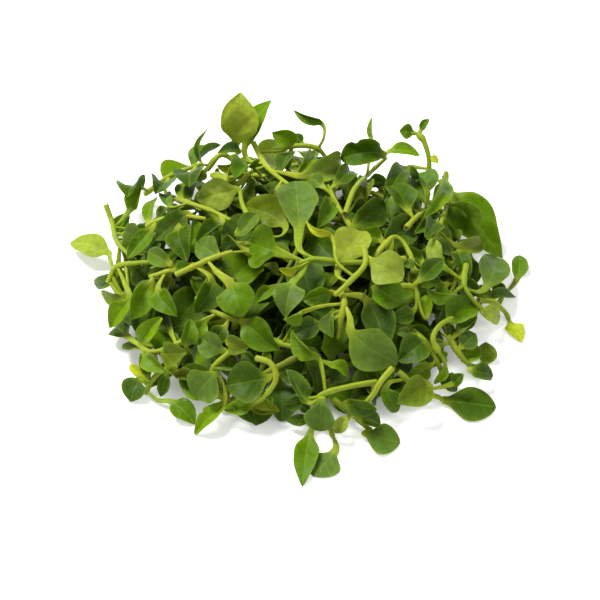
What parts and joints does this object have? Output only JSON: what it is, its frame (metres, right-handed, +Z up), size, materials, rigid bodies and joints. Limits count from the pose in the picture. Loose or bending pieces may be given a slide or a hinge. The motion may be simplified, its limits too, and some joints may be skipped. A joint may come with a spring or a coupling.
{
  "type": "watercress heap",
  "caption": "Loose heap of fresh watercress: leafy stems with spade-shaped leaves piled in a low dome that lies on a table.",
  "frame": {"origin": "under the middle of the heap's box, on the surface that it lies on", "axes": "+Z up, -Y towards the side that the picture shows, +X to its right"},
  "size_m": [0.1852, 0.1916, 0.0486],
  "materials": {
    "front_sprigs": "fresh leaf, satin",
    "back_sprigs": "fresh leaf, satin",
    "inner_sprigs": "fresh leaf, satin"
  },
  "bodies": {
    "root": {"sprig_arch": "front_sprigs", "sprig_back_1": "back_sprigs", "sprig_back_2": "back_sprigs", "sprig_back_3": "back_sprigs", "sprig_back_4": "back_sprigs", "sprig_back_5": "back_sprigs", "sprig_back_6": "back_sprigs", "sprig_back_7": "back_sprigs", "sprig_back_8": "back_sprigs", "sprig_centre": "front_sprigs", "sprig_centre_left": "front_sprigs", "sprig_core_1": "inner_sprigs", "sprig_core_2": "inner_sprigs", "sprig_corner": "front_sprigs", "sprig_crest_1": "inner_sprigs", "sprig_crest_2": "inner_sprigs", "sprig_crest_3": "inner_sprigs", "sprig_crest_4": "inner_sprigs", "sprig_crest_left": "front_sprigs", "sprig_crest_right": "front_sprigs", "sprig_crown": "front_sprigs", "sprig_front_pair": "front_sprigs", "sprig_front_right": "front_sprigs", "sprig_hook": "front_sprigs", "sprig_inner_right": "front_sprigs", "sprig_junction": "front_sprigs", "sprig_left_high": "front_sprigs", "sprig_left_low": "front_sprigs", "sprig_left_mid": "front_sprigs", "sprig_left_tip": "front_sprigs", "sprig_left_top": "front_sprigs", "sprig_long_stem": "front_sprigs", "sprig_low_arc": "front_sprigs", "sprig_low_centre": "front_sprigs", "sprig_low_dark": "front_sprigs", "sprig_low_hero": "front_sprigs", "sprig_low_left": "front_sprigs", "sprig_low_round": "front_sprigs", "sprig_mid_left": "front_sprigs", "sprig_right_big": "front_sprigs", "sprig_right_crest": "front_sprigs", "sprig_right_edge": "front_sprigs", "sprig_right_front": "front_sprigs", "sprig_right_inner": "front_sprigs", "sprig_right_low": "front_sprigs", "sprig_right_mid": "front_sprigs", "sprig_right_sprig": "front_sprigs", "sprig_rim_1": "inner_sprigs", "sprig_rim_2": "inner_sprigs", "sprig_rim_3": "inner_sprigs", "sprig_rim_4": "inner_sprigs", "sprig_rim_5": "inner_sprigs", "sprig_rim_6": "inner_sprigs", "sprig_ring": "front_sprigs", "sprig_ring_low": "front_sprigs", "sprig_sprout": "front_sprigs", "sprig_top_left": "front_sprigs", "sprig_under_1": "inner_sprigs", "sprig_under_2": "inner_sprigs", "sprig_under_3": "inner_sprigs"}
  },
  "joints": []
}
